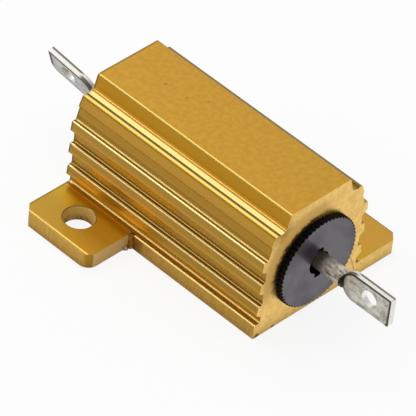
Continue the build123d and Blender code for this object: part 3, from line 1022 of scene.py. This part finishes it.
saw_web = torn_metal("saw_web", (-3.78, -7.74, 0.84), 0.36, 1.5, (-0.05, 0.06, 0), 0.05)
saw_crumb = torn_metal("saw_crumb", (-3.88, -8.3, 0.24), 0.29, 0.32, (-0.06, -0.14, 0), 0.07)

# %% Torn metal's finish
TORN_DARK = (0.28, 0.13, 0.02)
TORN_LIGHT = (0.62, 0.31, 0.04)
CRUMB_DARK = (0.30, 0.16, 0.11)
CRUMB_LIGHT = (0.95, 0.80, 0.66)
TORN_GLOSS = (0.3, 0.3)

torn_web = grainy("torn_web", (TORN_DARK, TORN_LIGHT), TORN_GLOSS, 0.6, 2600, 0.5)
torn_crumb = grainy("torn_crumb", (CRUMB_DARK, CRUMB_LIGHT), TORN_GLOSS, 0.3, 2600, 0.5)
saw_web.data.materials.append(torn_web)
saw_crumb.data.materials.append(torn_crumb)
print("torn metal wears", torn_web.name, "and", torn_crumb.name)

# %% [markdown]
# ## Paper and light
# The bar stands on white paper under a wide soft lamp, a little to its left, with a narrow strip
# lamp in front of the fins. To all rays but the camera's the paper is painted grey, a painted
# shade, which deepens the gold mirrored in the fins, and in what the metal mirrors the paper by
# the sawn end and far off glows white, a painted light. The camera sees it nearly white, and a
# little of its own shade stays in the mix, so the part still has its shadow.

# %% Paper
PAPER_SIZE = 4
PAPER_SHADE_GREY = (0.56, 0.56, 0.56)
PAPER_WHITE = (0.96, 0.96, 0.96)
PAPER_DROP = 0.02 * MM
FAR_PAPER = (35 * MM, 260 * MM)
END_PAPER = (12.5 * MM, 15.5 * MM)
CAMERA_WHITE = 0.87

bpy.ops.object.select_all(action="DESELECT")
bpy.ops.mesh.primitive_plane_add(size=PAPER_SIZE, location=(0, 0, -PAPER_DROP))
paper_sheet = bpy.context.object
paper_sheet.name = "paper_sheet"

paper, tree, shader, coordinates = new_material("white_paper")
shader.inputs["Roughness"].default_value = 0.9
shader.inputs["Specular IOR Level"].default_value = 0.1
paper_point = split(tree, coordinates["Object"])
# In what the metal mirrors, the paper glows white by the sawn end and far off, a painted light.
from_part = add_node(tree, "ShaderNodeVectorMath", operation="LENGTH")
tree.links.new(coordinates["Object"], from_part.inputs[0])
far_paper = product(tree, ramp(tree, from_part.outputs["Value"], *FAR_PAPER), 0.6)
painted_paper_light = either(tree, ramp(tree, paper_point["X"], *END_PAPER), far_paper)

ray = add_node(tree, "ShaderNodeLightPath").outputs
# To all rays but the camera's the paper is painted grey, a painted shade.
paper_colour = blend_colours(tree, ray["Is Camera Ray"], PAPER_SHADE_GREY, PAPER_WHITE)
tree.links.new(paper_colour, shader.inputs["Base Color"])
mirrored = either(tree, ray["Is Glossy Ray"], ray["Is Transmission Ray"])
seen_white = product(tree, ray["Is Camera Ray"], CAMERA_WHITE)
white_share = either(tree, seen_white, product(tree, mirrored, painted_paper_light))
white = add_node(tree, "ShaderNodeEmission", {"Color": (1, 1, 1, 1), "Strength": 1})
paper_mix = add_node(tree, "ShaderNodeMixShader")
tree.links.new(white_share, paper_mix.inputs[0])
tree.links.new(shader.outputs[0], paper_mix.inputs[1])
tree.links.new(white.outputs[0], paper_mix.inputs[2])
tree.links.new(paper_mix.outputs[0], tree.nodes["Material Output"].inputs["Surface"])
paper_sheet.data.materials.append(paper)
print("paper laid under the base face")

# %% Room light
SKY_CENTRE = Vector((-0.49, 0.1, 0.86)).normalized()
SKY_LOW = 0.58
SKY_RISE = 0.2
SKY_SPREAD = (0.62, 0.97)

room = bpy.data.worlds.new("soft_room")
bpy.context.scene.world = room
room.use_nodes = True
tree = room.node_tree
direction = add_node(tree, "ShaderNodeTexCoord").outputs["Generated"]
towards = add_node(tree, "ShaderNodeVectorMath", {1: SKY_CENTRE}, operation="DOT_PRODUCT")
tree.links.new(direction, towards.inputs[0])
overhead = ramp(tree, towards.outputs["Value"], *SKY_SPREAD)
sky = calculate(tree, "ADD", SKY_LOW, product(tree, overhead, SKY_RISE))
tree.links.new(sky, tree.nodes["Background"].inputs["Strength"])
tree.nodes["Background"].inputs["Color"].default_value = (1, 1, 1, 1)
print("sky from", SKY_LOW, "to", SKY_LOW + SKY_RISE)

# %% Lamps
def softbox(name, place, length, width, power):
    """Rectangular area lamp at a place, aimed at the part; sizes in millimetres."""
    lamp_data = bpy.data.lights.new(name, "AREA")
    lamp_data.shape = "RECTANGLE"
    lamp_data.size = length * MM
    lamp_data.size_y = width * MM
    lamp_data.energy = power
    lamp = bpy.data.objects.new(name, lamp_data)
    bpy.context.scene.collection.objects.link(lamp)
    lamp.location = Vector(place) * MM
    lamp.rotation_euler = (-Vector(place)).to_track_quat("-Z", "Y").to_euler()
    print(name, power, "W")


softbox("overhead_softbox", (-392, 100, 690), 440, 440, 1.7)
softbox("front_left_strip", (-392, -536, 448), 480, 150, 0.6)

# %% [markdown]
# ## Finish
# The view transform is set to Standard.

# %% Finish
bpy.context.scene.view_settings.view_transform = "Standard"
